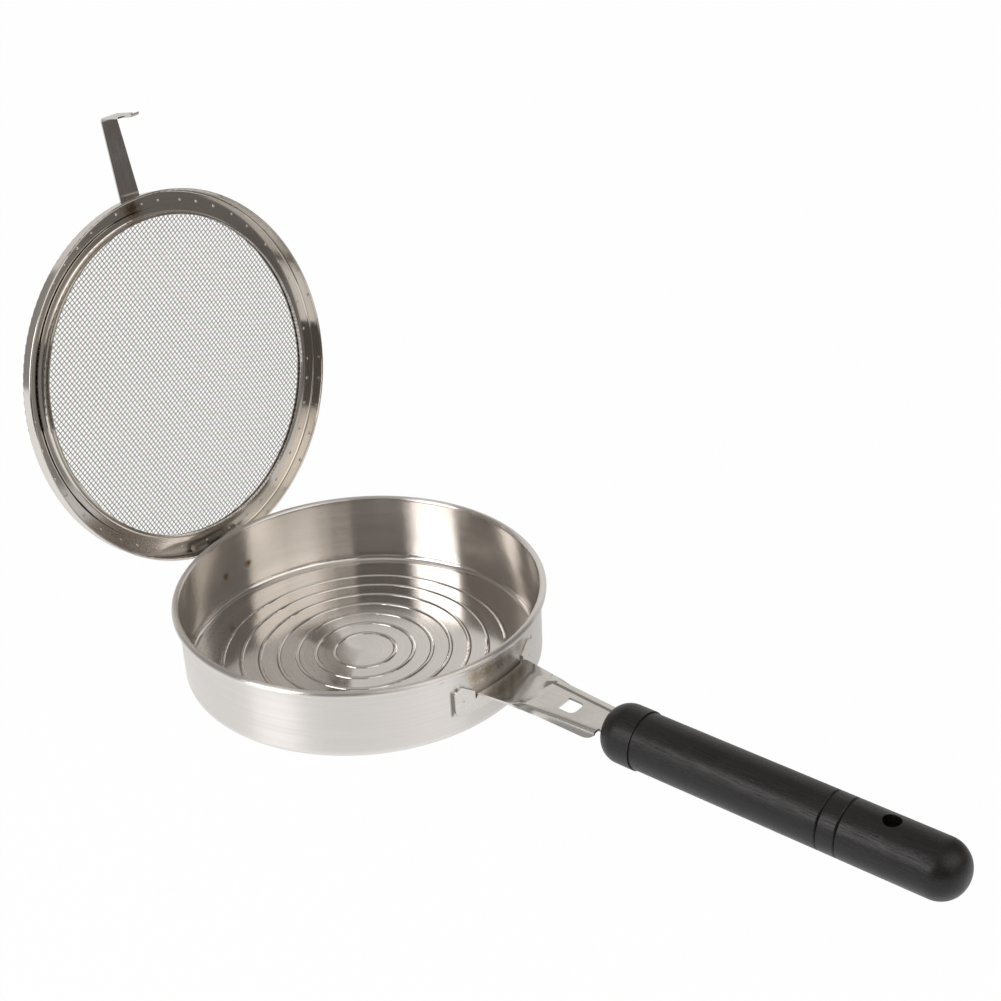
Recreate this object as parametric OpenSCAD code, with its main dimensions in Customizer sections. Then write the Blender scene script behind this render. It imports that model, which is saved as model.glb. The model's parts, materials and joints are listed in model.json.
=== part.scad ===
// Strainer pan with a turned handle and a hinged sieve lid, drawn with the lid standing open.
// The origin is the centre of the pan's underside, +Z is up and +X runs along the handle.
// Lid pieces are written in their closed place and turned open about the hinge pin.

/* [Pan] */
// Outer radius of the pan wall
pan_r = 92; // [85:0.5:105]
// Height of the pan from its underside to the top of the rim
pan_h = 39.8; // [38:0.2:56]
// Sheet thickness of the pan
pan_sheet = 0.8; // [0.6:0.1:1]
// Outer radius of the corner between floor and wall
corner_r = 4; // [3:0.5:8]
// Radius of the rolled rim bead
bead_r = 1.9; // [1.7:0.1:2.3]
// Slit left where the rolled rim curls back to the wall
curl_gap = 0.7; // [0.4:0.1:0.9]
// Number of raised rings pressed into the floor
ring_count = 7; // [3:1:7]
// Radius of the innermost raised ring
ring_first_r = 15.8; // [8:0.2:18]
// Step from one raised ring to the next
ring_step = 9.6; // [6:0.2:9.8]
// Height of the raised rings above the floor
ring_h = 0.6; // [0.4:0.1:1]

/* [Lid ring] */
// Gap between the pan's rim and the lid skirt around it
skirt_gap = 0.5; // [0.4:0.1:1]
// Gap between the top of the rim and the lid web over it
seat_gap = 0.4; // [0.3:0.1:0.8]
// Sheet thickness of the lid ring
lid_sheet = 0.6; // [0.5:0.1:0.9]
// Depth of the lid from its top face to the skirt's edge
skirt_depth = 7.8; // [6:0.2:9]
// Outer radius of the bend from web to skirt
lid_bend_r = 1.4; // [1:0.1:1.8]
// Radius of the hem along the skirt's edge
hem_r = 0.6; // [0.5:0.05:0.8]
// Radial width of the lid web, skirt to sieve
web_w = 11.5; // [9:0.5:14]

/* [Sieve] */
// Radial gap between the pan wall and the clamp ring inside it
clamp_gap = 3.2; // [1:0.2:4]
// Radial width of the clamp ring
clamp_w = 4.5; // [4:0.5:9]
// Sheet thickness of the clamp ring
clamp_sheet = 0.7; // [0.5:0.1:0.9]
// Depth of the lip turned down along the clamp ring's inner edge
clamp_lip = 3.6; // [2.8:0.2:4.4]
// Outer radius of the bend into the clamp ring's lip
clamp_bend_r = 2; // [1:0.1:2.4]
// Thickness of the sieve cloth
mesh_t = 0.8; // [0.6:0.1:1]
// Pitch of the net's bars
mesh_pitch = 9.6; // [9.4:0.2:14]
// Width of a bar of the net
mesh_bar = 1; // [0.6:0.1:1.6]
// Turn of the weave about the lid's axis
mesh_turn = 45; // [0:5:90]

/* [Latch] */
// Thickness of the latch strip
strip_t = 0.8; // [0.6:0.1:1]
// Width of the latch strip on the lid
strip_root_w = 13; // [11:0.5:16]
// Width of the latch strip at its bend
strip_bend_w = 9.5; // [8:0.5:10.5]
// Inner radius of the latch strip's bend
strip_bend_r = 1.6; // [1:0.1:2.4]
// Length of the latch strip that lies on the lid web
strip_lap = 8.5; // [6:0.5:10]
// Width of the tongue at the end of the hook
tongue_w = 5; // [4:0.5:7]
// Length of the tongue
tongue_l = 8; // [6:0.5:10]
// Inner radius of the curl at the tongue's tip
curl_r = 0.8; // [0.6:0.1:1.2]
// Drop of the tongue's tip below the plate it hooks under
hook_reach = 2.4; // [1.8:0.1:3.2]
// Distance of the hook from the middle of the slot, towards the handle
hook_shift = 2.2; // [0:0.2:2.4]

/* [Hinge] */
// Radius of the hinge pin
pin_r = 1.2; // [1:0.05:1.5]
// Radial clearance of the pin in its knuckles
pin_gap = 0.05; // [0.02:0.01:0.1]
// Wall of the knuckles rolled round the pin
knuckle_wall = 1.15; // [0.9:0.05:1.3]
// Gap from the knuckles to the pan's wall and rim
knuckle_gap = 0.6; // [0.5:0.1:0.9]
// Length of the lid's middle knuckle
mid_knuckle_l = 12; // [8:0.5:14]
// Length of each side knuckle on the pan
side_knuckle_l = 8; // [6:0.5:9]
// End play between neighbouring knuckles
knuckle_play = 0.3; // [0.2:0.05:0.5]
// Thickness of the hinge leaves
leaf_t = 0.8; // [0.6:0.1:1]
// Height of the leaf welded to the pan wall
pan_leaf_h = 20; // [14:1:24]
// Length of the lid leaf that lies on the lid web
lid_leaf_lap = 9; // [6:0.5:10]
// Inner radius of the lid leaf's bend
leaf_bend_r = 1; // [0.6:0.1:1.2]
// Radius of the pin's heads
pin_head_r = 1.9; // [1.7:0.1:2.2]
// Thickness of the pin's heads
pin_head_t = 0.9; // [0.6:0.1:1.2]
// Room around the knuckles in the notch of the lid skirt
notch_gap = 1.4; // [1:0.1:1.8]
// Angle at which the lid stands open
lid_open = 101.4; // [92:0.2:110]

/* [Bracket] */
// Sheet thickness of the handle bracket
bracket_t = 1.2; // [1:0.1:1.6]
// Width of the flange on the pan wall
flange_w = 59; // [52:1:64]
// Height of the flange's lower edge above the underside
flange_lo = 12.4; // [10:0.2:15]
// Corner radius of the flange
flange_corner_r = 4; // [2:0.5:5]
// Rise of the ears' tips above the plate
ear_rise = 5.6; // [3:0.2:6.4]
// Height of the plate's top face above the underside
plate_z = 22.8; // [21:0.2:26]
// Inner radius of the bend from flange to plate
bracket_bend_r = 2.6; // [1.6:0.2:4]
// Width of the plate at the bend
plate_w = 35; // [32:0.5:40]
// Half width of the plate where its edges start to fold down
roll_start_w = 15.6; // [14.5:0.1:16.5]
// Half width of sheet at the plate's handle end, measured round the fold
roll_end_w = 15.4; // [14.6:0.1:16.4]
// Half width of the crown between the folded edges, at their start
crown_start_w = 12.5; // [11:0.5:13]
// Half width of the crown at the handle
crown_end_w = 9.6; // [9:0.1:10.4]
// Height of the ridge along each fold above the plate
ridge_h = 0.8; // [0.4:0.1:1]
// Width of the ridge from its foot on the plate to the fold
ridge_w = 3; // [2.4:0.1:3.2]
// Width of the ridge's slope
ridge_slope = 1; // [0.6:0.1:1.4]
// Share of the folded edge's length over which the ridge rises
ridge_rise = 0.12; // [0.05:0.01:0.3]
// Distance from the pan wall to where the edges start to fold down
roll_start = 20; // [14:1:26]
// Distance from the pan wall to the end of the folded edges
roll_end = 65; // [58:1:72]
// Turn of the folded edges at the handle
roll_turn = 72; // [40:1:78]
// Turn of the folded edges where they start
roll_start_turn = 4; // [3:0.5:10]
// Outer radius of the fold
fold_r = 2; // [1.6:0.1:2.4]
// Least length of the straight flank beyond the fold
flank_least = 0.4; // [0.3:0.1:1]
// Length over which the folded edges round off at the handle
roll_fade = 7; // [4:0.5:10]
// Share of the folded edge that is left at the handle
roll_left = 0.35; // [0.2:0.05:0.6]
// Pace at which the fold reaches its full turn
roll_pace = 1.5; // [1:0.1:2.4]
// Slit between the plate and the flange's ears
ear_slit = 0.8; // [0.5:0.1:1.5]
// Distance from the pan wall to the middle of the latch slot
slot_dist = 43.2; // [38:0.2:48]
// Length of the latch slot along the handle
slot_l = 9.2; // [8:0.2:11]
// Width of the latch slot
slot_w = 10; // [8:0.5:11]
// Radius of the slot's corners towards the handle
slot_corner_r = 3; // [1:0.5:3.5]
// Width of the tang inside the handle
tang_w = 14; // [10:0.5:14]
// Length of the tang inside the handle
tang_l = 42; // [25:1:60]
// Clearance of the tang in its slot
tang_gap = 0.1; // [0.05:0.05:0.3]
// Gap that the welds leave behind a piece
weld_gap = 0.05; // [0.02:0.01:0.1]

/* [Handle] */
// Radius of the turned handle
wood_r = 14; // [13.5:0.5:17]
// Length of the handle
wood_l = 183.4; // [170:0.2:200]
// Rise of the handle above the horizontal
wood_rise = 0.7; // [0:0.1:4]
// Distance from the end of the folded edges to the handle
wood_gap = 0.6; // [0.3:0.1:2]
// Drop of the handle's axis below the middle of the plate
wood_drop = 1.2; // [0:0.1:3]
// Step of the front collar above the handle
collar_step = 0.6; // [0.3:0.1:1.2]
// Length of the front collar
collar_l = 20.6; // [16:0.2:24]
// Rounding of the handle's front
front_round_r = 11; // [8:0.5:11.5]
// Rounding of the handle's far end
end_round_r = 13; // [9:0.5:13]
// Distance from the handle's front to the first groove
groove_first = 118.2; // [100:0.2:120]
// Distance between the two grooves
groove_step = 9.2; // [6:0.2:12]
// Depth of a groove
groove_d = 0.7; // [0.4:0.1:1.2]
// Distance from the handle's front to the hanging hole
hang_dist = 147.2; // [140:0.2:152]
// Radius of the hanging hole
hang_r = 4.2; // [3:0.1:4.5]

/* [Hidden] */
$fn = 96;

// Margin by which a cutting shape passes the surface it cuts
over = 1;

// Pan and rim
bead_c_r = pan_r - pan_sheet + bead_r;
bead_c_z = pan_h - bead_r;
rim_r = bead_c_r + bead_r;
ring_outer_r = pan_sheet + ring_h;

// Lid in its closed place
skirt_in_r = rim_r + skirt_gap;
skirt_out_r = skirt_in_r + lid_sheet;
web_lo = pan_h + seat_gap;
lid_top = web_lo + lid_sheet;
skirt_lo = lid_top - skirt_depth;
web_in_r = skirt_in_r - web_w;
clamp_out_r = pan_r - pan_sheet - clamp_gap;
clamp_in_r = clamp_out_r - clamp_w;
mesh_lo = web_lo - mesh_t;
clamp_lo = mesh_lo - clamp_sheet;
mesh_reach = ceil(clamp_in_r / mesh_pitch) + 1;

// Hinge axis
knuckle_r = pin_r + pin_gap + knuckle_wall;
axis_x = -(pan_r + knuckle_gap + knuckle_r);
axis_z = pan_h - 2 * bead_r - knuckle_gap - knuckle_r;
side_from = mid_knuckle_l / 2 + knuckle_play;
side_to = side_from + side_knuckle_l;
pan_leaf_top = axis_z - knuckle_r - knuckle_gap;
notch_top = axis_z + knuckle_r + notch_gap;
notch_half = side_to + pin_head_t + notch_gap;
// Length by which the knuckles' arms lap the pan leaf, and their depth in the leaf
arm_lap = 4 * leaf_t;

// Bracket
flange_in_r = pan_r + weld_gap;
flange_out_r = flange_in_r + bracket_t;
bend_c_r = flange_out_r + bracket_bend_r;
bend_c_z = plate_z - bracket_t - bracket_bend_r;
roll_start_x = pan_r + roll_start;
roll_end_x = pan_r + roll_end;
roll_steps = 32;
ridge_steps = 2;
fold_steps = 4;
flank_steps = 2;
edge_steps = ridge_steps + fold_steps + flank_steps;
slot_x = pan_r + slot_dist;
flange_h = plate_z + ear_rise - flange_lo;

// Handle
wood_x = roll_end_x + wood_gap;
wood_z = plate_z - bracket_t / 2 - wood_drop;
collar_r = wood_r + collar_step;

// Hook of the latch in the slot
hook_out_x = slot_x + hook_shift + strip_t / 2;
tip_z = plate_z - bracket_t - hook_reach;
strip_lo = lid_top + weld_gap;

// Extrudes a profile drawn in X and Z by a width along Y
module along_y(width) {
  rotate([90, 0, 0])
    linear_extrude(height = width, center = true)
      children();
}

// A quarter of a ring, or of a disc, in the quadrant given by the signs of its two directions
module quarter_ring(inner, outer, side_x, side_z) {
  intersection() {
    difference() {
      circle(r = outer);
      if (inner > 0) circle(r = inner);
    }
    translate([side_x < 0 ? -outer : 0, side_z < 0 ? -outer : 0])
      square(outer);
  }
}

// A rectangle with round corners, its lower edge at height 0
module round_rect(width, height, radius) {
  translate([-width / 2, radius])
    square([width, height - 2 * radius]);
  translate([-width / 2 + radius, 0])
    square([width - 2 * radius, height]);
  for (x = [-1, 1], z = [radius, height - radius])
    translate([x * (width / 2 - radius), z])
      circle(r = radius);
}

// A sheet bent round the pan wall on the side of +X, with an outline that starts at a given height
module wall_patch(low, thickness) {
  intersection() {
    difference() {
      cylinder(r = flange_in_r + thickness, h = pan_h);
      translate([0, 0, -over])
        cylinder(r = flange_in_r, h = pan_h + 2 * over);
    }
    translate([0, 0, low])
      rotate([90, 0, 90])
        linear_extrude(height = 2 * pan_r)
          children();
  }
}

// Turns a lid piece from its closed place to the open lid
module on_lid() {
  translate([axis_x, 0, axis_z])
    rotate([0, -lid_open, 0])
      translate([-axis_x, 0, -axis_z])
        children();
}

// Half section of the pan: floor, corner, wall and rolled rim
module pan_section() {
  difference() {
    union() {
      square([pan_r - corner_r, pan_sheet]);
      intersection() {
        for (k = [0 : ring_count - 1])
          translate([ring_first_r + k * ring_step, 0])
            circle(r = ring_outer_r);
        square([pan_r, pan_h]);
      }
    }
    for (k = [0 : ring_count - 1])
      translate([ring_first_r + k * ring_step, 0])
        circle(r = ring_h);
  }
  translate([pan_r - corner_r, corner_r])
    quarter_ring(corner_r - pan_sheet, corner_r, 1, -1);
  translate([pan_r - pan_sheet, corner_r])
    square([pan_sheet, bead_c_z - corner_r]);
  difference() {
    translate([bead_c_r, bead_c_z])
      difference() {
        circle(r = bead_r);
        circle(r = bead_r - pan_sheet);
      }
    translate([pan_r, bead_c_z - bead_r - over])
      square([curl_gap, bead_r + over]);
  }
}

module pan_body() {
  color("silver")
    rotate_extrude($fn = 180)
      pan_section();
}

// Share of the way along the folded stretch
function roll_share(x) = (x - roll_start_x) / (roll_end_x - roll_start_x);
function crown_half(x) = crown_start_w + (crown_end_w - crown_start_w) * roll_share(x);
// Share of the full edge that is left where it rounds off at the handle
function edge_share(x) =
  let (past = max(0, x - (roll_end_x - roll_fade)) / roll_fade)
  roll_left + (1 - roll_left) * sqrt(max(0, 1 - past * past));
// Width of sheet that is folded down on each side
function edge_width(x) =
  let (full = roll_start_w + (roll_end_w - roll_start_w) * roll_share(x))
  (full - crown_half(x)) * edge_share(x);
function roll_angle(x) =
  roll_start_turn + (roll_turn - roll_start_turn) * sin(90 * min(1, roll_share(x) * roll_pace));

// Height of the ridge above the plate
function ridge_height(x) = ridge_h * min(1, roll_share(x) / ridge_rise);

// Point of the folded plate at x, on one side, a number of steps up the ridge, round the fold and down
// its flank, and a depth below its top
function roll_point(x, side, step, depth) =
  let (
    inward = [ridge_w, ridge_w - ridge_slope, 0][min(step, ridge_steps)],
    lift = step == 0 ? 0 : ridge_height(x),
    round_step = max(0, step - ridge_steps),
    turn = roll_angle(x) * min(1, round_step / fold_steps),
    flank = max(flank_least, edge_width(x) - fold_r * roll_angle(x) * PI / 180),
    down = flank * max(0, round_step - fold_steps) / flank_steps,
    reach = fold_r - depth
  )
  [x, side * (crown_half(x) - inward + reach * sin(turn) + down * cos(turn)),
    plate_z + lift - fold_r + reach * cos(turn) - down * sin(turn)];

// One section of the folded plate: round its top from side to side and back along its underside
function roll_section(x) = concat(
  [for (i = [edge_steps : -1 : 0]) roll_point(x, -1, i, 0)],
  [for (i = [0 : edge_steps]) roll_point(x, 1, i, 0)],
  [for (i = [edge_steps : -1 : 0]) roll_point(x, 1, i, bracket_t)],
  [for (i = [0 : edge_steps]) roll_point(x, -1, i, bracket_t)]
);

// Plate stretch whose edges fold down towards the handle
module rolled_plate() {
  count = 4 * (edge_steps + 1);
  sections = [for (k = [0 : roll_steps])
    let (share = k / roll_steps)
    roll_section(roll_start_x + (roll_end_x - roll_start_x) * (share + sin(90 * share)) / 2)];
  points = [for (s = sections) each s];
  half = count / 2;
  sides = [for (k = [0 : roll_steps - 1], i = [0 : count - 1])
    let (j = (i + 1) % count, a = k * count, b = a + count)
    each [[a + i, a + j, b + j], [a + i, b + j, b + i]]];
  last = roll_steps * count;
  caps = [for (i = [0 : half - 2])
    let (m = count - 1 - i)
    each [[i, m, i + 1], [i + 1, m, m - 1],
      [last + i, last + i + 1, last + m], [last + i + 1, last + m - 1, last + m]]];
  polyhedron(points = points, faces = concat(sides, caps), convexity = 6);
}

// Outline of the latch slot, square towards the pan and with round corners towards the handle
module slot_outline() {
  translate([slot_x - slot_l / 2, -slot_w / 2])
    square([slot_l - slot_corner_r, slot_w]);
  translate([slot_x - slot_l / 2, -slot_w / 2 + slot_corner_r])
    square([slot_l, slot_w - 2 * slot_corner_r]);
  for (side = [-1, 1])
    translate([slot_x + slot_l / 2 - slot_corner_r, side * (slot_w / 2 - slot_corner_r)])
      circle(r = slot_corner_r);
}

// Outline of the flange, whose ears rise from the plate to their tips
module flange_outline() {
  tip_y = flange_w / 2 - flange_corner_r;
  difference() {
    round_rect(flange_w, flange_h, flange_corner_r);
    polygon([
      [-tip_y, flange_h], [-plate_w / 2, flange_h - ear_rise],
      [plate_w / 2, flange_h - ear_rise], [tip_y, flange_h]
    ]);
  }
}

// Outline of the flat stretch of the plate, with a tab that laps the crown of the folded stretch
module flat_outline() {
  root_x = pan_r - corner_r;
  polygon([
    [root_x, -plate_w / 2], [bend_c_r, -plate_w / 2],
    [roll_start_x, -roll_start_w], [roll_start_x, roll_start_w],
    [bend_c_r, plate_w / 2], [root_x, plate_w / 2]
  ]);
  tab_half = crown_end_w - ridge_w;
  translate([roll_start_x - over, -tab_half])
    square([2 * over, 2 * tab_half]);
}

module handle_bracket() {
  color("gainsboro")
    difference() {
      union() {
        // Flange with its two ears
        difference() {
          wall_patch(flange_lo, bracket_t)
            flange_outline();
          translate([0, -plate_w / 2 - ear_slit, bend_c_z])
            cube([2 * pan_r, plate_w + 2 * ear_slit, pan_h]);
        }
        // Bend from flange to plate
        intersection() {
          rotate_extrude($fn = 180)
            translate([bend_c_r, bend_c_z])
              quarter_ring(bracket_bend_r, bracket_bend_r + bracket_t, -1, 1);
          translate([0, -plate_w / 2, 0])
            cube([2 * pan_r, plate_w, pan_h]);
        }
        // Flat stretch of the plate
        translate([0, 0, plate_z - bracket_t])
          difference() {
            linear_extrude(height = bracket_t)
              flat_outline();
            translate([0, 0, -over])
              cylinder(r = bend_c_r, h = bracket_t + 2 * over, $fn = 180);
          }
        rolled_plate();
        // Tang inside the handle
        translate([roll_end_x - over, -tang_w / 2, plate_z - bracket_t])
          cube([over + wood_gap + tang_l, tang_w, bracket_t]);
      }
      translate([0, 0, plate_z - bracket_t - over])
        linear_extrude(height = bracket_t + 2 * over)
          slot_outline();
    }
}

// Half section of the turned handle along its own axis
module wood_section() {
  difference() {
    union() {
      square([collar_r - front_round_r, collar_l]);
      translate([0, front_round_r])
        square([collar_r, collar_l - front_round_r]);
      translate([collar_r - front_round_r, front_round_r])
        quarter_ring(0, front_round_r, 1, -1);
      translate([0, collar_l])
        square([wood_r, wood_l - collar_l - end_round_r]);
      translate([0, wood_l - end_round_r])
        square([wood_r - end_round_r, end_round_r]);
      translate([wood_r - end_round_r, wood_l - end_round_r])
        quarter_ring(0, end_round_r, 1, 1);
    }
    for (k = [0, 1])
      translate([wood_r, groove_first + k * groove_step])
        polygon([[-groove_d, 0], [groove_d, -2 * groove_d], [groove_d, 2 * groove_d]]);
  }
}

module wood_handle() {
  color("#232122")
    difference() {
      translate([wood_x, 0, wood_z])
        rotate([0, 90 - wood_rise, 0])
          difference() {
            rotate_extrude()
              wood_section();
            translate([-wood_r - over, 0, hang_dist])
              rotate([0, 90, 0])
                cylinder(r = hang_r, h = 2 * (wood_r + over));
          }
      translate([wood_x - over, -tang_w / 2 - tang_gap, plate_z - bracket_t - tang_gap])
        cube([over + tang_l + tang_gap, tang_w + 2 * tang_gap, bracket_t + 2 * tang_gap]);
    }
}

// A knuckle round the hinge axis, from one place along Y to another
module knuckle(from, to) {
  translate([axis_x, to, axis_z])
    rotate([90, 0, 0])
      cylinder(r = knuckle_r, h = to - from);
}

module pin_bore() {
  translate([axis_x, side_to + over, axis_z])
    rotate([90, 0, 0])
      cylinder(r = pin_r + pin_gap, h = 2 * (side_to + over));
}

module hinge_leaf_pan() {
  color("silver")
    difference() {
      union() {
        mirror([1, 0, 0])
          wall_patch(pan_leaf_top - pan_leaf_h, leaf_t)
            round_rect(2 * side_to, pan_leaf_h, 2 * leaf_t);
        for (side = [-1, 1]) {
          from = side > 0 ? side_from : -side_to;
          knuckle(from, from + side_knuckle_l);
          // Arm from the knuckle down to the leaf
          difference() {
            translate([axis_x + knuckle_r - leaf_t, from, pan_leaf_top - arm_lap])
              cube([arm_lap, side_knuckle_l, axis_z - pan_leaf_top + arm_lap]);
            cylinder(r = flange_in_r, h = pan_h);
          }
        }
      }
      pin_bore();
    }
}

module hinge_pin() {
  color("gray") {
    translate([axis_x, side_to + weld_gap, axis_z])
      rotate([90, 0, 0])
        cylinder(r = pin_r, h = 2 * (side_to + weld_gap));
    for (side = [-1, 1])
      translate([axis_x, side * (side_to + weld_gap + pin_head_t / 2), axis_z])
        rotate([90, 0, 0])
          cylinder(r = pin_head_r, h = pin_head_t, center = true);
  }
}

// Half section of the lid ring: web, bend, skirt and hem
module lid_section() {
  translate([web_in_r, web_lo])
    square([skirt_out_r - lid_bend_r - web_in_r, lid_sheet]);
  translate([skirt_out_r - lid_bend_r, lid_top - lid_bend_r])
    quarter_ring(lid_bend_r - lid_sheet, lid_bend_r, 1, 1);
  translate([skirt_in_r, skirt_lo + hem_r])
    square([lid_sheet, lid_top - lid_bend_r - skirt_lo - hem_r]);
  translate([skirt_in_r + hem_r, skirt_lo + hem_r])
    circle(r = hem_r);
}

module lid_ring() {
  color("silver")
    on_lid()
      difference() {
        rotate_extrude($fn = 180)
          lid_section();
        translate([-2 * pan_r, -notch_half, skirt_lo - over])
          cube([pan_r + over, 2 * notch_half, notch_top - skirt_lo + over]);
      }
}

// Half section of the clamp ring: a flat seat and a lip turned down at the sieve
module clamp_section() {
  translate([clamp_in_r + clamp_bend_r, clamp_lo])
    square([clamp_w - clamp_bend_r, clamp_sheet]);
  translate([clamp_in_r + clamp_bend_r, clamp_lo + clamp_sheet - clamp_bend_r])
    quarter_ring(clamp_bend_r - clamp_sheet, clamp_bend_r, -1, 1);
  translate([clamp_in_r, clamp_lo + clamp_sheet - clamp_lip])
    square([clamp_sheet, clamp_lip - clamp_bend_r]);
}

module clamp_ring() {
  color("lightgray")
    on_lid()
      rotate_extrude($fn = 180)
        clamp_section();
}

// Gaps of the net that lie inside the clamp ring
module mesh_gaps() {
  gap = mesh_pitch - mesh_bar;
  intersection() {
    circle(r = clamp_in_r, $fn = 180);
    rotate(mesh_turn)
      for (i = [-mesh_reach : mesh_reach], j = [-mesh_reach : mesh_reach])
        if (norm([i, j] * mesh_pitch) < clamp_in_r + gap / 3)
          translate([i, j] * mesh_pitch)
            square(gap, center = true);
  }
}

module mesh_screen() {
  color("darkgray")
    on_lid()
      translate([0, 0, mesh_lo])
        linear_extrude(height = mesh_t)
          difference() {
            circle(r = clamp_out_r, $fn = 180);
            mesh_gaps();
          }
}

// Side view of the latch strip: lap on the lid, bend, hook and the curl at its tip
module strip_section() {
  bend_x = hook_out_x - strip_t - strip_bend_r;
  bend_z = strip_lo - strip_bend_r;
  curl_z = tip_z + strip_t + curl_r;
  translate([skirt_in_r - strip_lap, strip_lo])
    square([bend_x - skirt_in_r + strip_lap, strip_t]);
  translate([bend_x, bend_z])
    quarter_ring(strip_bend_r, strip_bend_r + strip_t, 1, 1);
  translate([hook_out_x - strip_t, curl_z])
    square([strip_t, bend_z - curl_z]);
  translate([hook_out_x + curl_r, curl_z])
    quarter_ring(curl_r, curl_r + strip_t, -1, -1);
}

module latch_strip() {
  tongue_top = tip_z + tongue_l;
  root_x = skirt_in_r - strip_lap;
  color("gainsboro")
    on_lid()
      intersection() {
        along_y(strip_root_w)
          strip_section();
        union() {
          translate([0, 0, strip_lo - strip_bend_r])
            linear_extrude(height = strip_bend_r + 2 * strip_t)
              polygon([
                [root_x - over, -strip_root_w / 2], [hook_out_x + over, -strip_bend_w / 2],
                [hook_out_x + over, strip_bend_w / 2], [root_x - over, strip_root_w / 2]
              ]);
          translate([bend_c_r, -strip_bend_w / 2, tongue_top])
            cube([pan_r, strip_bend_w, strip_lo - strip_bend_r - tongue_top]);
          translate([bend_c_r, -tongue_w / 2, tip_z - over])
            cube([pan_r, tongue_w, tongue_l + 2 * over]);
        }
      }
}

// Side view of the lid leaf: knuckle, riser, bend and the lap on the lid web
module lid_leaf_section() {
  riser_x = axis_x - knuckle_r;
  lap_z = lid_top + weld_gap;
  bend_x = riser_x + leaf_t + leaf_bend_r;
  bend_z = lap_z - leaf_bend_r;
  difference() {
    union() {
      translate([axis_x, axis_z])
        circle(r = knuckle_r);
      translate([riser_x, axis_z])
        square([leaf_t, bend_z - axis_z]);
    }
    translate([axis_x, axis_z])
      circle(r = pin_r + pin_gap);
  }
  translate([bend_x, bend_z])
    quarter_ring(leaf_bend_r, leaf_bend_r + leaf_t, -1, 1);
  translate([bend_x, lap_z])
    square([lid_leaf_lap, leaf_t]);
}

module hinge_leaf_lid() {
  color("silver")
    on_lid()
      along_y(mid_knuckle_l)
        lid_leaf_section();
}

pan_body();
handle_bracket();
wood_handle();
hinge_leaf_pan();
hinge_pin();
lid_ring();
clamp_ring();
mesh_screen();
latch_strip();
hinge_leaf_lid();
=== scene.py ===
"""Looks of the hinged sieve strainer: steel, black wood and a woven wire sieve, in a pale studio."""
import json
import math
import random

import bmesh
import bpy
import numpy as np
from mathutils import Matrix, Vector


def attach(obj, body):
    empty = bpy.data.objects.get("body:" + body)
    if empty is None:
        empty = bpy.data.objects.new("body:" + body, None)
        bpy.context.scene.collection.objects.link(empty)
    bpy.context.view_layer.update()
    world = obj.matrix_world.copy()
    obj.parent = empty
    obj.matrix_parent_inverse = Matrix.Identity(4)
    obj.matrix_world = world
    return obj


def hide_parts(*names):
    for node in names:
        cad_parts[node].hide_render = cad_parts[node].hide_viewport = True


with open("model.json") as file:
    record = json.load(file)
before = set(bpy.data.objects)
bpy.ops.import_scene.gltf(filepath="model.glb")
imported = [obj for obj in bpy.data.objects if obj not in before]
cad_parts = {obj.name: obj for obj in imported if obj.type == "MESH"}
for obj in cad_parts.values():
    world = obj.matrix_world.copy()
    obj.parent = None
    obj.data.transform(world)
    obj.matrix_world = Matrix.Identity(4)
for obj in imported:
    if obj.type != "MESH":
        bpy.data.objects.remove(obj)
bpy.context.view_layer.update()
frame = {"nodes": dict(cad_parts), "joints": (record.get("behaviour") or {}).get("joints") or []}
MM = 0.001

# Sizes repeated from the solids, in millimetres
PAN_IN_R = 91.2
EAR_OUT_R = 93.25
WEB_UNDER_Z = 40.2
MESH_Z = 39.8
MESH_R = 87.6
# Upright ends of the bracket's ears on the wall: distance from the middle, lowest and highest point
EAR_ENDS = (30.2, 13.5, 27.5)

# The sieve's weave, as measured in the photograph, in millimetres and degrees
WARP_PITCH = 1.865
WEFT_PITCH = 2.19
WEAVE_TURN = 65.8
WIRE_R = 0.235
WIRE_WAVE = 0.19

# Welds: places in millimetres, those of the lid with the lid closed
HINGE_WELDS = [(-91.0, 6.2, 17.8), (-90.6, -10.6, 17.4)]
HINGE_WELD_R, HINGE_WELD_H = 1.1, 0.2
EAR_WELD_Y, EAR_WELD_Z = 25.0, 19.7
EAR_WELD_R, EAR_WELD_H = 1.0, 0.2
LATCH_WELD = (90.5, -1.5, 39.8)
# Spot welds round the lid: angle of the first, radius of their ring and how far they stray from it
LID_WELD_START = 0.06
LID_RING_R, LID_WELD_STRAY = 91.1, 0.3
LID_WELD_R, LID_WELD_H, LID_WELD_STEP = (0.7, 1.0), (0.34, 0.5), (10, 18)

# The lid's hinge: pieces of the lid are made in their closed place and turned open about it
hinge = frame["joints"][0]
HINGE_AT = Vector(hinge["pos_m"])
OPEN_ANGLE = math.radians(max(hinge["range_deg"]))
TO_CLOSED = Matrix.Rotation(OPEN_ANGLE, 4, "Y")
CLOSE = Matrix.Translation(HINGE_AT) @ TO_CLOSED @ Matrix.Translation(-HINGE_AT)
OPEN = CLOSE.inverted()


# Shader nodes

def node(tree, kind, ins=None, **props):
    """Adds a shader node, sets its properties, and links or sets its inputs by name or number."""
    made = tree.nodes.new("ShaderNode" + kind)
    for key, value in props.items():
        setattr(made, key, value)
    for key, value in (ins or {}).items():
        if isinstance(value, bpy.types.NodeSocket):
            tree.links.new(value, made.inputs[key])
        else:
            made.inputs[key].default_value = value
    return made


def maths(tree, operation, a, b=0.0):
    return node(tree, "Math", {0: a, 1: b}, operation=operation).outputs[0]


def product(tree, first, *others):
    for other in others:
        first = maths(tree, "MULTIPLY", first, other)
    return first


def spread(tree, value, low, high, to_low=0.0, to_high=1.0):
    """Maps a value's range onto another one, held at its ends."""
    ins = {"Value": value, "From Min": low, "From Max": high, "To Min": to_low, "To Max": to_high}
    return node(tree, "MapRange", ins, clamp=True).outputs[0]


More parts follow.
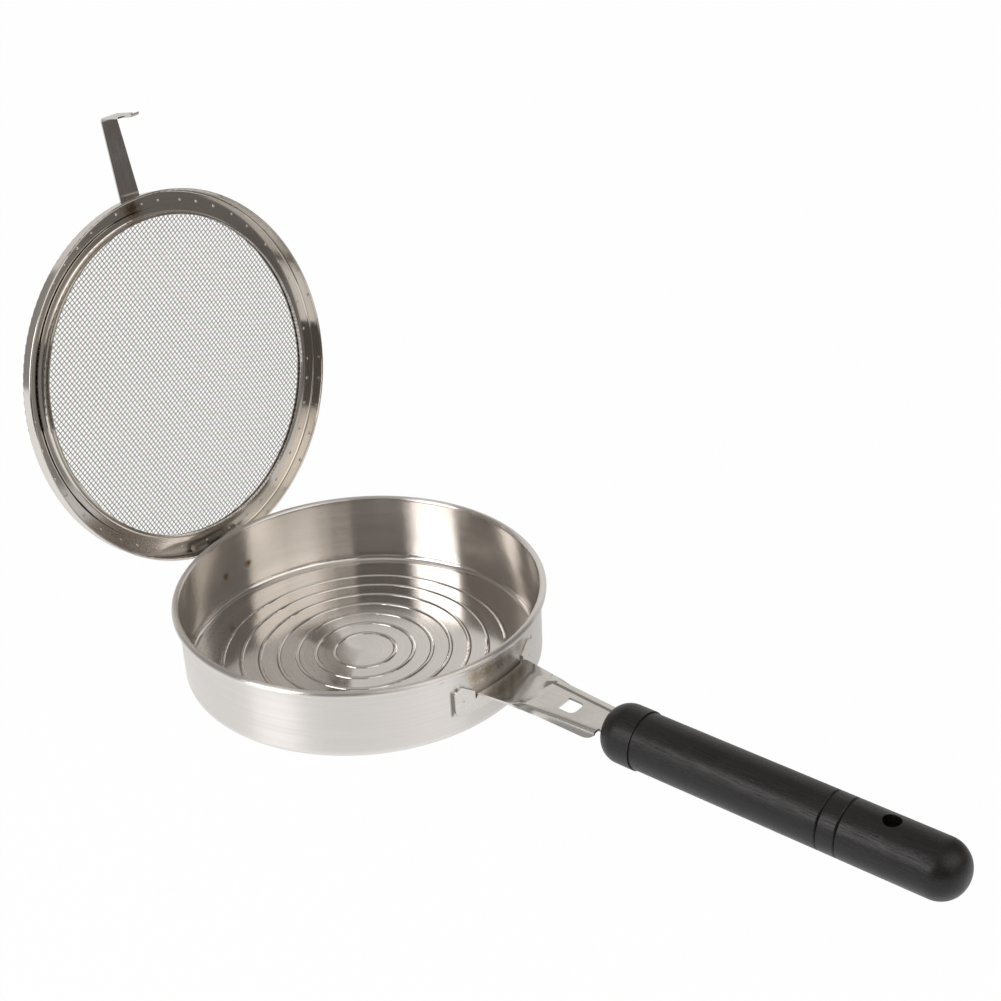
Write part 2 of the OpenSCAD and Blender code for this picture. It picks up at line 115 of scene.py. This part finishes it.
def noise(tree, vector, scale=1.0, detail=2.0, rough=0.5):
    ins = {"Vector": vector, "Scale": scale, "Detail": detail, "Roughness": rough}
    return node(tree, "TexNoise", ins).outputs[0]


def stretched(tree, point, x, y, z):
    return node(tree, "VectorMath", {0: point, 1: (x, y, z)}, operation="MULTIPLY").outputs[0]


def axes(tree, vector):
    return node(tree, "SeparateXYZ", {0: vector}).outputs[:3]


def rgba(colour):
    return (*colour, 1.0)


def scaled(colour, factor):
    return rgba([min(1.0, c * factor) for c in colour])


def mix_colour(tree, share, a, b):
    made = node(tree, "Mix", {0: share, 6: a, 7: b}, data_type="RGBA")
    return made.outputs[2]


def new_tree(data):
    """Gives a material or world an empty node tree."""
    data.use_nodes = True
    data.node_tree.nodes.clear()
    return data.node_tree


def new_material(name):
    material = bpy.data.materials.new(name)
    tree = new_tree(material)
    shader = node(tree, "BsdfPrincipled")
    output = node(tree, "OutputMaterial")
    tree.links.new(shader.outputs[0], output.inputs[0])
    return material, tree, shader


def add_bump(tree, shader, height, strength, distance):
    ins = {"Strength": strength, "Distance": distance, "Height": height}
    tree.links.new(node(tree, "Bump", ins).outputs[0], shader.inputs["Normal"])


def own_point(tree, on_lid):
    """Place on the piece in metres, in the lid's closed place for a lid piece."""
    point = node(tree, "TexCoord").outputs["Object"]
    if not on_lid:
        return point
    ins = {"Vector": point, "Location": CLOSE.to_translation(), "Rotation": TO_CLOSED.to_euler()}
    return node(tree, "Mapping", ins, vector_type="POINT").outputs[0]


# Share of the colour that a heat stain or a painted shade takes at most
STAIN_AND_SHADE_SHARE = 0.85


def add_tints(tree, point, colour, tints):
    """Tints a colour round given points: heat tints of welds, and painted dark reflection too."""
    for centre, radius, tint_colour in tints:
        reach = radius * MM
        away = node(tree, "VectorMath", {0: point, 1: Vector(centre) * MM}, operation="DISTANCE")
        fray = spread(tree, noise(tree, point, 700.0, detail=3.0), 0, 1, -0.5 * reach, 0.5 * reach)
        distance = maths(tree, "ADD", away.outputs["Value"], fray)
        share = spread(tree, distance, reach, 0.25 * reach, 0.0, STAIN_AND_SHADE_SHARE)
        colour = mix_colour(tree, share, colour, rgba(tint_colour))
    return colour


# Where one finish of the pan passes into the next, in metres: floor to wall by height, and inside to
# outside by radius, within the thickness of the wall
FLOOR_TO_WALL = (0.0016, 0.005)
IN_TO_OUT = (0.0914, 0.0918)
# How fast the lathe's lines change along themselves and from one to the next, per metre
LINE_DRIFT, LINE_CHANGE = 5.0, 800.0
# How much brighter the outside's colour is made, as painted light
OUTSIDE_LIGHT_GAIN = 1.13
# Painted shade in the gap at the ears' upright ends: how it fades with distance, and where the front of
# the pan begins, in metres
EAR_GAP_SHADE = (0.13, 0.112, 0.095)
EAR_GAP_FADE = (0.0011, 0.0004)
PAN_FRONT = (0.080, 0.082)


def add_ear_gap_shade(tree, x, y, z, outside, colour):
    """Paints shade on the outside of the wall along the upright end of each ear of the bracket,
    standing in for the dark gap between ear and wall.
    """
    ear_end, low, high = (length * MM for length in EAR_ENDS)
    away = maths(tree, "ABSOLUTE", maths(tree, "SUBTRACT", maths(tree, "ABSOLUTE", y), ear_end))
    line = spread(tree, away, *EAR_GAP_FADE, 0.0, STAIN_AND_SHADE_SHARE)
    in_front = spread(tree, x, *PAN_FRONT)
    above = spread(tree, z, low - MM, low + MM)
    below = spread(tree, z, high + MM, high - MM)
    return mix_colour(tree, product(tree, line, in_front, outside, above, below), colour, rgba(EAR_GAP_SHADE))


def across_lines(tree, x, y, on_lid):
    """Direction in the surface across lines that run round the axis."""
    around = node(tree, "CombineXYZ", {0: maths(tree, "MULTIPLY", y, -1.0), 1: x}).outputs[0]
    if on_lid:
        ins = {"Vector": around, "Angle": -OPEN_ANGLE}
        around = node(tree, "VectorRotate", ins, rotation_type="Y_AXIS").outputs[0]
    turned = node(tree, "VectorTransform", {0: around}, vector_type="VECTOR",
                  convert_from="OBJECT", convert_to="WORLD").outputs[0]
    normal = node(tree, "NewGeometry").outputs["Normal"]
    across = node(tree, "VectorMath", {0: turned, 1: normal}, operation="CROSS_PRODUCT").outputs[0]
    return node(tree, "VectorMath", {0: across}, operation="NORMALIZE").outputs[0]


def turned_steel(name, colour, rough, polish_and_painted_light=0.0, on_lid=False, tints=(), ear_gap_shade=False):
    """Steel finished on a lathe, whose fine lines round the axis spread the light across them.

    rough is the roughness on the floor, inside the wall and outside it. A polish lays that share of a
    mirror over the outside, and makes the outside's colour brighter as painted light.
    """
    floor_rough, inner_rough, outer_rough = rough
    material, tree, shader = new_material(name)
    point = own_point(tree, on_lid)
    x, y, z = axes(tree, point)
    flat = node(tree, "CombineXYZ", {0: x, 1: y}).outputs[0]
    radius = node(tree, "VectorMath", {0: flat}, operation="LENGTH").outputs["Value"]
    outside = spread(tree, radius, *IN_TO_OUT)
    # The lines change along the section of the sheet: outwards over the floor and up the wall
    along = maths(tree, "ADD", radius, z)
    section = node(tree, "CombineXYZ", {0: x, 1: y, 2: along}).outputs[0]
    lines = stretched(tree, section, LINE_DRIFT, LINE_DRIFT, LINE_CHANGE)
    streak = noise(tree, lines, detail=3.0, rough=0.6)
    smudge = noise(tree, point, 30.0, detail=3.0, rough=0.55)
    shade = mix_colour(tree, spread(tree, streak, 0.3, 0.7), scaled(colour, 0.94), scaled(colour, 1.04))
    shade = mix_colour(tree, spread(tree, smudge, 0.45, 0.75, 0.0, 0.25), shade, scaled(colour, 0.9))
    if polish_and_painted_light:
        # Painted light: the outside of the wall gets a brighter copy of the colour
        brighter = node(tree, "VectorMath", {0: shade, "Scale": OUTSIDE_LIGHT_GAIN}, operation="SCALE")
        shade = mix_colour(tree, outside, shade, brighter.outputs[0])
    shade = add_tints(tree, point, shade, tints)
    # Painted shade along the ears' upright ends on the outer wall
    if ear_gap_shade:
        shade = add_ear_gap_shade(tree, x, y, z, outside, shade)
    tree.links.new(shade, shader.inputs["Base Color"])
    shader.inputs["Metallic"].default_value = 1.0
    within = spread(tree, z, *FLOOR_TO_WALL, floor_rough, inner_rough)
    finish = maths(tree, "ADD", within, maths(tree, "MULTIPLY", outside, outer_rough - inner_rough))
    grain = spread(tree, streak, 0.25, 0.75, 0.9, 1.12)
    tree.links.new(product(tree, finish, grain), shader.inputs["Roughness"])
    add_bump(tree, shader, streak, strength=0.25, distance=4e-6)
    # The gloss is widest across the lines
    tree.links.new(across_lines(tree, x, y, on_lid), shader.inputs["Tangent"])
    shader.inputs["Anisotropic"].default_value = 0.97
    if polish_and_painted_light:
        tree.links.new(maths(tree, "MULTIPLY", outside, polish_and_painted_light), shader.inputs["Coat Weight"])
        shader.inputs["Coat Roughness"].default_value = 0.05
        shader.inputs["Coat IOR"].default_value = 3.0
    return material


# Length over which the rolled edges of the bracket, with their painted shade, come in, in metres
EDGE_FADE = 0.004


def sheet_steel(name, colour, rough, grain, on_lid=False, edge_from=None):
    """Satin rolled sheet, with its grain along the axis that has the small number in grain.

    Past edge_from along the handle, in metres, the sides that turn down are duller, and darker by
    painted shade that stands in for the dark they reflect.
    """
    material, tree, shader = new_material(name)
    point = own_point(tree, on_lid)
    streak = noise(tree, stretched(tree, point, *grain), detail=3.0, rough=0.6)
    cloud = noise(tree, point, 60.0, detail=4.0, rough=0.6)
    shade = mix_colour(tree, spread(tree, streak, 0.3, 0.7), scaled(colour, 0.93), scaled(colour, 1.05))
    shade = mix_colour(tree, spread(tree, cloud, 0.45, 0.7, 0.0, 0.35), shade, scaled(colour, 0.85))
    grained = spread(tree, streak, 0.25, 0.75, rough - 0.05, rough + 0.05)
    gloss = maths(tree, "ADD", grained, spread(tree, cloud, 0.3, 0.7, -0.05, 0.07))
    if edge_from is not None:
        sideways = maths(tree, "ABSOLUTE", axes(tree, node(tree, "TexCoord").outputs["Normal"])[1])
        past = spread(tree, axes(tree, point)[0], edge_from, edge_from + EDGE_FADE)
        rolled = product(tree, spread(tree, sideways, 0.3, 0.75), past)
        # Painted shade on the sides that turn down: a darker copy of the colour
        shade = mix_colour(tree, rolled, shade, scaled(colour, 0.42))
        gloss = maths(tree, "ADD", gloss, maths(tree, "MULTIPLY", rolled, 0.26))
    tree.links.new(shade, shader.inputs["Base Color"])
    shader.inputs["Metallic"].default_value = 1.0
    tree.links.new(gloss, shader.inputs["Roughness"])
    add_bump(tree, shader, maths(tree, "ADD", streak, cloud), strength=0.2, distance=6e-6)
    return material


def black_wood(name):
    """Turned wood, stained black: open pores along the handle under a thin worn varnish."""
    dark, light = (0.0042, 0.0035, 0.0038), (0.0135, 0.0105, 0.0108)
    worn, pore = (0.021, 0.0165, 0.016), (0.0025, 0.0022, 0.0022)
    material, tree, shader = new_material(name)
    point = own_point(tree, False)
    grain = noise(tree, stretched(tree, point, 14, 230, 230), detail=5.0, rough=0.6)
    pores = noise(tree, stretched(tree, point, 90, 1900, 1900))
    pits = spread(tree, pores, 0.36, 0.46)
    wear = noise(tree, point, 45.0, detail=4.0, rough=0.65)
    shade = mix_colour(tree, spread(tree, grain, 0.3, 0.72), rgba(dark), rgba(light))
    shade = mix_colour(tree, spread(tree, wear, 0.52, 0.75, 0.0, 0.35), shade, rgba(worn))
    shade = mix_colour(tree, pits, rgba(pore), shade)
    tree.links.new(shade, shader.inputs["Base Color"])
    grained = spread(tree, grain, 0.25, 0.75, 0.42, 0.30)
    gloss = maths(tree, "ADD", grained, spread(tree, wear, 0.3, 0.7, -0.05, 0.08))
    tree.links.new(gloss, shader.inputs["Roughness"])
    shader.inputs["IOR"].default_value = 1.45
    height = maths(tree, "ADD", maths(tree, "MULTIPLY", pits, 0.6), maths(tree, "MULTIPLY", grain, 0.8))
    add_bump(tree, shader, height, strength=0.7, distance=9e-5)
    return material


def wire_steel(name, colour, rough):
    """Drawn wire of the sieve, duller and browner than the sheet."""
    material, tree, shader = new_material(name)
    point = own_point(tree, True)
    spots = noise(tree, point, 900.0)
    cloud = noise(tree, point, 25.0, detail=3.0)
    shade = mix_colour(tree, spots, scaled(colour, 0.8), scaled(colour, 1.15))
    shade = mix_colour(tree, spread(tree, cloud, 0.4, 0.7, 0.0, 0.4), shade, scaled(colour, 0.75))
    tree.links.new(shade, shader.inputs["Base Color"])
    shader.inputs["Metallic"].default_value = 1.0
    gloss = spread(tree, spots, 0.3, 0.7, rough - 0.05, rough + 0.08)
    tree.links.new(gloss, shader.inputs["Roughness"])
    add_bump(tree, shader, spots, strength=0.3, distance=1e-5)
    return material


# Materials of the solids
PAN_STEEL = (0.73, 0.70, 0.67)
LID_STEEL = (0.72, 0.685, 0.64)
BRACKET_STEEL = (0.70, 0.675, 0.64)
LATCH_STEEL = (0.62, 0.595, 0.57)
HINGE_STEEL = (0.62, 0.60, 0.57)
WIRE_STEEL = (0.40, 0.335, 0.29)
BROWN = (0.20, 0.13, 0.075)
STRAW = (0.50, 0.42, 0.31)
WALL_REFLECTION_SHADE = (0.36, 0.31, 0.25)
GRAIN_ALONG = (60, 1100, 1100)
GRAIN_ACROSS = (1100, 60, 1100)

# Tints: place and radius in millimetres, and colour. Those round the welds are heat stains; the brown
# band on the wall above the bracket is painted dark reflection
pan_tints = [(place, 3.6, STRAW) for place in HINGE_WELDS]
pan_tints += [(place, 2.2, BROWN) for place in HINGE_WELDS]
# Straw-coloured patches on the wall by the bracket
pan_tints += [
    ((91.7, 7.3, 34.4), 3.0, STRAW),
    ((91.5, -9.3, 30.6), 3.5, STRAW),
    ((85.0, -35.1, 35.5), 2.0, STRAW),
]
# Painted dark reflection on the wall above the bracket's plate, where the plate hides the bright floor
# from it
pan_tints += [((91.8, y, 30.5), 6.5, WALL_REFLECTION_SHADE) for y in (-16.0, -8.0, 0.0, 8.0, 16.0)]
lid_tints = [(LATCH_WELD, 9.0, STRAW), (LATCH_WELD, 5.5, BROWN)]

pan_look = turned_steel("pan_steel_spun", PAN_STEEL, (0.12, 0.21, 0.34), polish_and_painted_light=0.15, tints=pan_tints,
                        ear_gap_shade=True)
lid_look = turned_steel("lid_steel_spun", LID_STEEL, (0.1, 0.1, 0.1), on_lid=True, tints=lid_tints)
bracket_look = sheet_steel("bracket_steel_satin", BRACKET_STEEL, 0.14, GRAIN_ALONG, edge_from=0.112)
latch_look = sheet_steel("latch_steel_satin", LATCH_STEEL, 0.13, GRAIN_ALONG, on_lid=True)
hinge_look = sheet_steel("hinge_steel_satin", HINGE_STEEL, 0.33, GRAIN_ACROSS)
wood_look = black_wood("handle_wood_black")
wire_look = wire_steel("sieve_wire_drawn", WIRE_STEEL, 0.36)

looks = {
    "pan_body": pan_look,
    "handle_bracket": bracket_look,
    "wood_handle": wood_look,
    "hinge_leaf_pan": hinge_look,
    "hinge_pin": hinge_look,
    "lid_ring": lid_look,
    "clamp_ring": lid_look,
    "mesh_screen": wire_look,
    "latch_strip": latch_look,
    "hinge_leaf_lid": hinge_look,
}
for name, look in looks.items():
    mesh = frame["nodes"][name].data
    mesh.materials.clear()
    mesh.materials.append(look)


# Pieces

def place_piece(name, mesh, material, body):
    """Puts a mesh into the scene as a piece that rides on a body."""
    mesh.materials.append(material)
    piece = bpy.data.objects.new(name, mesh)
    bpy.context.scene.collection.objects.link(piece)
    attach(piece, body)
    return piece


def add_piece(name, points, faces, material, body, slot, turned=None):
    """Makes a smooth piece from points in millimetres, turned into its place."""
    mesh = bpy.data.meshes.new(name)
    mesh.from_pydata((np.asarray(points, float) * MM).tolist(), [], faces)
    if turned is not None:
        mesh.transform(turned)
    mesh.validate()
    mesh.update()
    mesh.polygons.foreach_set("use_smooth", [True] * len(mesh.polygons))
    return place_piece(name, mesh, material, body)


def smoothed_copy(name, solid, material, body, sharp_angle):
    """A smooth-shaded copy of a solid of flat facets, which keeps folds past an angle sharp."""
    work = bmesh.new()
    work.from_mesh(solid.data)
    work.transform(solid.matrix_world)
    bmesh.ops.remove_doubles(work, verts=work.verts, dist=1e-6)
    for face in work.faces:
        face.smooth = True
    for edge in work.edges:
        edge.smooth = edge.calc_face_angle(math.pi) < sharp_angle
    mesh = bpy.data.meshes.new(name)
    work.to_mesh(mesh)
    work.free()
    return place_piece(name, mesh, material, body)


def woven_wires():
    """Points and faces of a plain weave: each wire passes over and under the ones it crosses."""
    corners = ((1, 0), (0, 1), (-1, 0), (0, -1))
    sides = len(corners)
    points, faces = [], []
    for way, pitch, crossed_pitch in ((0, WARP_PITCH, WEFT_PITCH), (1, WEFT_PITCH, WARP_PITCH)):
        half_count = int(MESH_R / pitch)
        for k in range(-half_count, half_count + 1):
            offset = k * pitch
            reach = math.sqrt(MESH_R ** 2 - offset ** 2)
            steps = int(reach / (crossed_pitch / 2))
            if steps < 1:
                continue
            first = len(points)
            for j in range(-steps, steps + 1):
                t = j * crossed_pitch / 2
                lift = WIRE_WAVE * math.cos(math.pi * (j / 2 + k)) * (1 if way == 0 else -1)
                for side, up in corners:
                    across = offset + side * WIRE_R
                    place = (t, across) if way == 0 else (across, t)
                    points.append((*place, MESH_Z + lift + up * WIRE_R))
            last = len(points) - sides
            wire = []
            for ring in range(first, last, sides):
                for c in range(sides):
                    a, b = ring + c, ring + (c + 1) % sides
                    wire.append((a, b, b + sides, a + sides))
            wire.append(tuple(range(first + sides - 1, first - 1, -1)))
            wire.append(tuple(range(last, last + sides)))
            faces.extend(face if way == 0 else face[::-1] for face in wire)
    return points, faces


def dome(centre, normal, radius, height):
    """A low round bead of weld, sunk a tenth of its height into a surface."""
    rings, sides, sunk = 3, 10, 0.1
    up = Vector(normal).normalized()
    side = up.orthogonal().normalized()
    other = up.cross(side)
    points, faces = [], []
    for i in range(rings):
        tilt = 0.5 * math.pi * i / rings
        for k in range(sides):
            turn = 2 * math.pi * k / sides
            out = (side * math.cos(turn) + other * math.sin(turn)) * radius * math.cos(tilt)
            points.append(Vector(centre) + out + up * height * (math.sin(tilt) - sunk))
    points.append(Vector(centre) + up * height * (1 - sunk))
    for i in range(rings - 1):
        for k in range(sides):
            a, b = i * sides + k, i * sides + (k + 1) % sides
            faces.append((a, b, b + sides, a + sides))
    top = (rings - 1) * sides
    faces.extend((top + k, top + (k + 1) % sides, rings * sides) for k in range(sides))
    faces.append(tuple(range(sides - 1, -1, -1)))
    return [tuple(p) for p in points], faces


def join(shapes):
    points, faces = [], []
    for shape_points, shape_faces in shapes:
        first = len(points)
        points.extend(shape_points)
        faces.extend(tuple(first + i for i in face) for face in shape_faces)
    return points, faces


weave_turn = Matrix.Rotation(math.radians(WEAVE_TURN), 4, "Z")
sieve = add_piece("sieve_weave", *woven_wires(), wire_look, "lid", "sieve_wire", OPEN @ weave_turn)
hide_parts("mesh_screen")

smooth_bracket = smoothed_copy("bracket_smooth", frame["nodes"]["handle_bracket"], bracket_look,
                               "pan", sharp_angle=math.radians(35))
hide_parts("handle_bracket")

# Spot welds round the lid, unevenly spaced as a hand-held welder leaves them
dice = random.Random(7)
dots, turn = [], LID_WELD_START
while turn < 2 * math.pi - LID_WELD_START:
    at_r = LID_RING_R + dice.uniform(-LID_WELD_STRAY, LID_WELD_STRAY)
    centre = (at_r * math.cos(turn), at_r * math.sin(turn), WEB_UNDER_Z)
    dots.append(dome(centre, (0, 0, -1), dice.uniform(*LID_WELD_R), dice.uniform(*LID_WELD_H)))
    turn += dice.uniform(*LID_WELD_STEP) / at_r
add_piece("lid_spot_welds", *join(dots), lid_look, "lid", "lid_steel", OPEN)

# Weld marks: two in the pan where the hinge leaf sits behind, one on each ear of the bracket
marks = []
for x, y, z in HINGE_WELDS:
    inward = Vector((-x, -y, 0)).normalized()
    centre = -inward * PAN_IN_R + Vector((0, 0, z))
    marks.append(dome(centre, inward, HINGE_WELD_R, HINGE_WELD_H))
add_piece("hinge_weld_marks", *join(marks), pan_look, "pan", "pan_steel")
marks = []
for y in (-EAR_WELD_Y, EAR_WELD_Y):
    outward = Vector((math.sqrt(EAR_OUT_R ** 2 - y ** 2), y, 0)).normalized()
    centre = outward * EAR_OUT_R + Vector((0, 0, EAR_WELD_Z))
    marks.append(dome(centre, outward, EAR_WELD_R, EAR_WELD_H))
add_piece("ear_weld_marks", *join(marks), bracket_look, "pan", "bracket_steel")


# Studio, in metres

WHITE = (1, 1, 1)
PAPER = (0.9, 0.9, 0.9)
ROOM_COLOUR = (0.98, 0.97, 0.95)
ROOM_STRENGTH = 0.5
FLOOR_HALF, FLOOR_Z = 6, -0.0004
# Share of the floor that shows plain white, the rest of it being lit paper with the object's shadow
FLOOR_GLOW = 0.985
# Gloss shows the floor dimmer by a share, except on the left softbox's side of an edge
BRIGHT_SIDE = (0.26, -0.966, 0)
DIM_EDGE = (-0.02, 0.06)
DIM_SHARE = 0.32
SEEN = ("Is Camera Ray", "Is Glossy Ray", "Is Transmission Ray")


def stage_mesh(name, points, faces, material):
    mesh = bpy.data.meshes.new(name)
    mesh.from_pydata(points, [], faces)
    mesh.materials.append(material)
    made = bpy.data.objects.new(name, mesh)
    bpy.context.scene.collection.objects.link(made)
    return made


def light_path(tree, *rays):
    """One where the ray is one of the named kinds."""
    path = node(tree, "LightPath")
    found = path.outputs[rays[0]]
    for ray in rays[1:]:
        found = maths(tree, "MAXIMUM", found, path.outputs[ray])
    return found


floor_look = bpy.data.materials.new("studio_floor")
tree = new_tree(floor_look)
paper = node(tree, "BsdfDiffuse", {"Color": rgba(PAPER)})
place = node(tree, "TexCoord").outputs["Object"]
lie = node(tree, "VectorMath", {0: place, 1: BRIGHT_SIDE}, operation="DOT_PRODUCT").outputs["Value"]
dimmer = spread(tree, lie, *DIM_EDGE, DIM_SHARE, 0.0)
brightness = maths(tree, "SUBTRACT", 1.0, product(tree, dimmer, light_path(tree, "Is Glossy Ray")))
glow = node(tree, "Emission", {"Color": rgba(WHITE), "Strength": brightness})
share = maths(tree, "MULTIPLY", light_path(tree, *SEEN), FLOOR_GLOW)
lit = node(tree, "MixShader", {0: share, 1: paper.outputs[0], 2: glow.outputs[0]})
tree.links.new(lit.outputs[0], node(tree, "OutputMaterial").inputs[0])
quarters = ((-1, -1), (1, -1), (1, 1), (-1, 1))
floor_corners = [(x * FLOOR_HALF, y * FLOOR_HALF, FLOOR_Z) for x, y in quarters]
stage_mesh("studio_floor", floor_corners, [(0, 1, 2, 3)], floor_look)


def tent_part(name, radius, azimuths, heights, colour):
    """A curved cloth that only gloss shows, as part of a ball round the object; heights are angles."""
    look = bpy.data.materials.new(name)
    tree = new_tree(look)
    glow = node(tree, "Emission", {"Color": rgba(colour), "Strength": 1.0})
    tree.links.new(glow.outputs[0], node(tree, "OutputMaterial").inputs[0])
    columns, rows = 24, 12
    points = []
    for azimuth in np.radians(np.linspace(*azimuths, columns + 1)):
        for height in np.radians(np.linspace(*heights, rows + 1)):
            level_r, z = radius * math.cos(height), radius * math.sin(height)
            points.append((level_r * math.cos(azimuth), level_r * math.sin(azimuth), z))
    step = rows + 1
    faces = [(i * step + j, (i + 1) * step + j, (i + 1) * step + j + 1, i * step + j + 1)
             for i in range(columns) for j in range(rows)]
    made = stage_mesh(name, points, faces, look)
    made.visible_camera = False
    made.visible_diffuse = False
    made.visible_shadow = False
    made.visible_transmission = False


# The tent's cloths and two small screens inside it; their foot is just clear of the floor
TENT_R = 1.7
SCREEN_R = 0.5
FOOT = 0.3

# Name, radius, azimuths and heights in degrees, and colour
TENT = [
    ("tent_front_low", TENT_R, (-90, -28), (FOOT, 37), (0.115, 0.105, 0.1)),
    ("tent_front_foot", TENT_R, (-28, 5), (FOOT, 30), (0.115, 0.105, 0.1)),
    ("tent_front_mid", TENT_R, (-28, 5), (30, 37), (1.0, 0.955, 0.9)),
    ("tent_front_high", TENT_R, (-42, 5), (37, 62), (1.15, 1.095, 1.03)),
    ("tent_front_left", TENT_R, (-90, -42), (37, 62), (0.22, 0.205, 0.2)),
    ("tent_side", TENT_R, (-112, -90), (FOOT, 62), (0.42, 0.41, 0.40)),
    ("tent_right_foot", TENT_R, (5, 62), (FOOT, 14), (0.16, 0.147, 0.14)),
    ("tent_right_low", TENT_R, (5, 62), (14, 24), (0.42, 0.395, 0.37)),
    ("tent_right_mid", TENT_R, (5, 34), (24, 46), (0.78, 0.745, 0.69)),
    ("tent_right_high", TENT_R, (5, 34), (46, 62), (0.76, 0.73, 0.69)),
    ("tent_right_dark", TENT_R, (34, 85), (24, 62), (0.17, 0.158, 0.149)),
    ("tent_right_far", TENT_R, (62, 85), (FOOT, 24), (0.6, 0.58, 0.555)),
    ("tent_back_low", TENT_R, (85, 185), (FOOT, 43), (0.76, 0.74, 0.715)),
    ("tent_back_high", TENT_R, (85, 185), (43, 62), (0.27, 0.26, 0.25)),
    ("tent_left", TENT_R, (185, 248), (FOOT, 62), (0.3, 0.288, 0.276)),
    ("tent_top", TENT_R, (0, 360), (62, 89.9), (0.52, 0.505, 0.485)),
    ("low_screen", SCREEN_R, (18, 40), (FOOT, 22), (0.26, 0.245, 0.23)),
    ("low_screen_dark", SCREEN_R, (40, 60), (FOOT, 18), (0.13, 0.12, 0.115)),
]
for part in TENT:
    tent_part(*part)

world = bpy.data.worlds.new("studio_world")
bpy.context.scene.world = world
tree = new_tree(world)
room = node(tree, "Background", {"Color": rgba(ROOM_COLOUR), "Strength": ROOM_STRENGTH})
backdrop = node(tree, "Background", {"Color": rgba(WHITE), "Strength": 1.0})
lit = node(tree, "MixShader", {0: light_path(tree, *SEEN), 1: room.outputs[0], 2: backdrop.outputs[0]})
tree.links.new(lit.outputs[0], node(tree, "OutputWorld").inputs[0])


def softbox(name, place, aim, size, power, colour):
    lamp = bpy.data.lights.new(name, "AREA")
    lamp.shape = "RECTANGLE"
    lamp.size, lamp.size_y = size
    lamp.energy = power
    lamp.color = colour
    made = bpy.data.objects.new(name, lamp)
    made.location = place
    made.rotation_euler = (Vector(aim) - Vector(place)).to_track_quat("-Z", "Y").to_euler()
    made.visible_camera = False
    bpy.context.scene.collection.objects.link(made)


softbox("left_softbox", (-0.21, -1.085, 0.66), aim=(0, -0.09, 0.02), size=(0.62, 0.75), power=5.9,
        colour=(1, 0.985, 0.975))
softbox("right_softbox", (1.005, 0.14, 0.66), aim=(0, 0, 0.02), size=(1.0, 0.75), power=1.6,
        colour=(1, 0.965, 0.90))

# Camera, fitted to the outlines in the photograph
CAMERA_AT = Vector((588.26, -573.31, 546.22)) * MM
YAW, PITCH, ROLL = (math.radians(a) for a in (130.6101, 29.3584, 2.4163))
FOCAL_PX, IMAGE_PX, SENSOR_MM = 1892.5, 1001, 36.0

ahead = Vector((math.cos(PITCH) * math.cos(YAW), math.cos(PITCH) * math.sin(YAW), -math.sin(PITCH)))
level = ahead.cross(Vector((0, 0, 1))).normalized()
down = ahead.cross(level)
right = level * math.cos(ROLL) + down * math.sin(ROLL)
below = down * math.cos(ROLL) - level * math.sin(ROLL)
lens = bpy.data.cameras.new("photo_camera")
lens.sensor_width = SENSOR_MM
lens.lens = FOCAL_PX / IMAGE_PX * SENSOR_MM
lens.clip_start, lens.clip_end = 0.01, 50
camera = bpy.data.objects.new("photo_camera", lens)
camera_turn = Matrix((right, -below, -ahead)).transposed().to_4x4()
camera.matrix_world = Matrix.Translation(CAMERA_AT) @ camera_turn
bpy.context.scene.collection.objects.link(camera)
bpy.context.scene.camera = camera
bpy.context.scene.view_settings.view_transform = "Standard"

bpy.context.view_layer.update()
